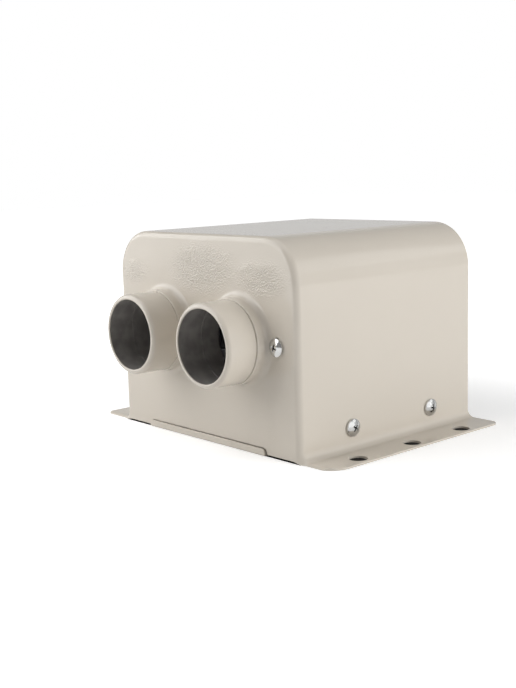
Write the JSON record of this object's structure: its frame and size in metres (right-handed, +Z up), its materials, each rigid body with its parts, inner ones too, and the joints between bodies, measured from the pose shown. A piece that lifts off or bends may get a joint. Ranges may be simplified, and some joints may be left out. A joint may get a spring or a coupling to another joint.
{
  "type": "portable car heater",
  "caption": "Compact car heater in a rounded sheet-steel casing with side mounting flanges, round hot-air outlet tubes in front and a guarded fan at the rear.",
  "frame": {"origin": "centre of the mounting-hole pattern on the plane that the flanges rest on", "axes": "+X to the right seen from the front, -Y the way the outlets blow, +Z up"},
  "size_m": [0.168, 0.1424, 0.0982],
  "materials": {
    "casing_paint": "glossy light warm grey powder coat with a fine orange-peel texture",
    "zinc_screw": "bright zinc plate",
    "galvanised_sheet": "galvanised sheet steel",
    "core_aluminium": "bare aluminium",
    "cap_plastic": "heat-resistant moulding, matt black",
    "cutout_can": "drawn metal can",
    "fan_plastic": "moulded black plastic",
    "motor_steel": "plain steel",
    "ferrite": "dark ferrite",
    "bearing_bronze": "sintered bronze",
    "winding_copper": "enamelled copper wire",
    "board_laminate": "circuit board laminate",
    "guard_wire": "bright plated wire",
    "grommet_rubber": "black rubber",
    "heating_ceramic": "grey heating ceramic",
    "electrode_brass": "brass strip",
    "insulating_film": "amber insulating film"
  },
  "bodies": {
    "casing": {"base_chassis": "casing_paint", "cable_grommet": "grommet_rubber", "clip_screws": "zinc_screw", "core_bracket_left": "galvanised_sheet", "core_bracket_right": "galvanised_sheet", "core_end_cap_left": "cap_plastic", "core_end_cap_right": "cap_plastic", "core_rail_lower": "core_aluminium", "core_rail_upper": "core_aluminium", "core_screws": "zinc_screw", "cover_shell": "casing_paint", "cutout_clip": "galvanised_sheet", "electrode_lower_1": "electrode_brass", "electrode_lower_2": "electrode_brass", "electrode_lower_3": "electrode_brass", "electrode_upper_1": "electrode_brass", "electrode_upper_2": "electrode_brass", "electrode_upper_3": "electrode_brass", "fan_circuit_board": "board_laminate", "fan_frame": "fan_plastic", "fan_guard": "guard_wire", "fan_screws": "zinc_screw", "fin_pack_1": "core_aluminium", "fin_pack_2": "core_aluminium", "fin_pack_3": "core_aluminium", "fin_pack_4": "core_aluminium", "front_screws": "zinc_screw", "heater_tube_1": "core_aluminium", "heater_tube_2": "core_aluminium", "heater_tube_3": "core_aluminium", "insulating_film_1": "insulating_film", "insulating_film_2": "insulating_film", "insulating_film_3": "insulating_film", "outlet_plate": "galvanised_sheet", "outlet_tube_left": "casing_paint", "outlet_tube_right": "casing_paint", "ptc_stones_1": "heating_ceramic", "ptc_stones_2": "heating_ceramic", "ptc_stones_3": "heating_ceramic", "side_screws": "zinc_screw", "sleeve_bearing": "bearing_bronze", "stator_core": "motor_steel", "stator_windings": "winding_copper", "thermal_cutout": "cutout_can"},
    "fan_rotor": {"fan_impeller": "fan_plastic", "rotor_yoke": "motor_steel", "rotor_magnet": "ferrite", "rotor_shaft": "motor_steel", "shaft_clip": "motor_steel"}
  },
  "joints": [
    {"name": "fan_spin", "type": "hinge", "parent": "casing", "child": "fan_rotor", "pos_m": [0, 0.044, 0.0491], "axis": [0, 1, 0], "continuous": true}
  ]
}
